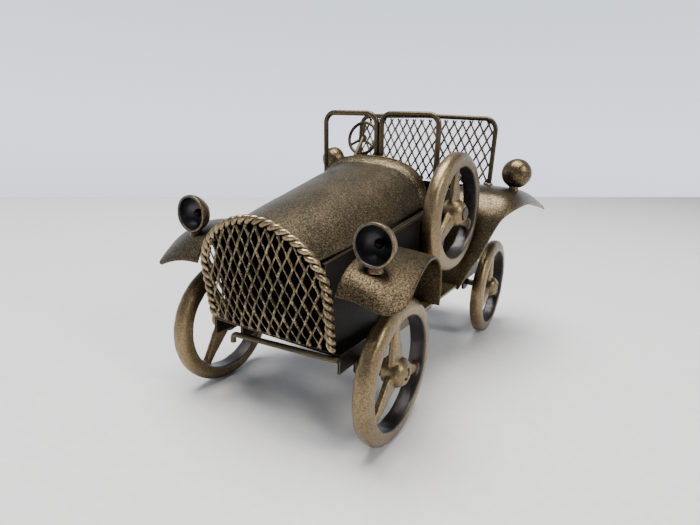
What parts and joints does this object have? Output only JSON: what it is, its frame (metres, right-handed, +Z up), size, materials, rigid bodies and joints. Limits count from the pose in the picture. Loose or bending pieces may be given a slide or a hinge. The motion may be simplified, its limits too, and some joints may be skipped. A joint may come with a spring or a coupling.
{
  "type": "vintage car ornament",
  "caption": "Open two-seat vintage car ornament in antique bronze sheet and wire, with spoked wheels that turn, a spare wheel, ball lamps and a mesh grille and seat back.",
  "frame": {"origin": "on the ground plane under the middle of the overall box", "axes": "+Z up, -Y towards the front of the car, +X towards its left side, where the spare wheel is"},
  "size_m": [0.1038, 0.1535, 0.1015],
  "materials": {
    "cast_bronze": "antique bronze patina, rubbed bright on the edges",
    "sheet_bronze": "speckled antique bronze",
    "dark_sheet": "dark bronze, satin",
    "mesh_bronze": "antique bronze, satin",
    "lamp_bronze": "speckled antique bronze",
    "wire_bronze": "antique bronze, satin"
  },
  "bodies": {
    "car": {"chassis": "dark_sheet", "dashboard": "dark_sheet", "engine_wall_left": "dark_sheet", "engine_wall_right": "dark_sheet", "front_axle": "dark_sheet", "front_axle_caps": "dark_sheet", "front_axle_hangers": "dark_sheet", "front_axle_spacers": "dark_sheet", "front_bar": "wire_bronze", "front_fender_left": "sheet_bronze", "front_fender_right": "sheet_bronze", "grille_mesh": "mesh_bronze", "grille_rope": "wire_bronze", "headlamp_bulbs": "lamp_bronze", "headlamp_left": "lamp_bronze", "headlamp_posts": "lamp_bronze", "headlamp_right": "lamp_bronze", "hood": "sheet_bronze", "hood_ledge_left": "sheet_bronze", "hood_ledge_right": "sheet_bronze", "rear_axle": "dark_sheet", "rear_axle_caps": "dark_sheet", "rear_axle_hangers": "dark_sheet", "rear_axle_spacers": "dark_sheet", "rear_fender_left": "sheet_bronze", "rear_fender_right": "sheet_bronze", "rear_lamp_bulbs": "lamp_bronze", "rear_lamp_left": "lamp_bronze", "rear_lamp_posts": "lamp_bronze", "rear_lamp_right": "lamp_bronze", "rear_panel": "dark_sheet", "running_board_left": "dark_sheet", "running_board_right": "dark_sheet", "seat_back_frame": "wire_bronze", "seat_back_mesh": "mesh_bronze", "seat_bench": "dark_sheet", "spare_nut": "wire_bronze", "spare_stud": "wire_bronze", "spare_wheel": "cast_bronze", "steering_column": "wire_bronze", "steering_rim": "wire_bronze", "steering_spokes": "wire_bronze", "tub_side_left": "dark_sheet", "tub_side_right": "dark_sheet", "windshield_frame_left": "wire_bronze", "windshield_frame_right": "wire_bronze", "windshield_tab": "wire_bronze"},
    "wheel_front_left_body": {"wheel_front_left": "cast_bronze"},
    "wheel_front_right_body": {"wheel_front_right": "cast_bronze"},
    "wheel_rear_left_body": {"wheel_rear_left": "cast_bronze"},
    "wheel_rear_right_body": {"wheel_rear_right": "cast_bronze"}
  },
  "joints": [
    {"name": "wheel_front_left_spin", "type": "hinge", "parent": "car", "child": "wheel_front_left_body", "pos_m": [0.0343, -0.05285, 0.0226], "axis": [1, 0, 0], "continuous": true},
    {"name": "wheel_front_right_spin", "type": "hinge", "parent": "car", "child": "wheel_front_right_body", "pos_m": [-0.0343, -0.05285, 0.0226], "axis": [1, 0, 0], "continuous": true},
    {"name": "wheel_rear_left_spin", "type": "hinge", "parent": "car", "child": "wheel_rear_left_body", "pos_m": [0.0343, 0.05415, 0.0226], "axis": [1, 0, 0], "continuous": true},
    {"name": "wheel_rear_right_spin", "type": "hinge", "parent": "car", "child": "wheel_rear_right_body", "pos_m": [-0.0343, 0.05415, 0.0226], "axis": [1, 0, 0], "continuous": true}
  ]
}
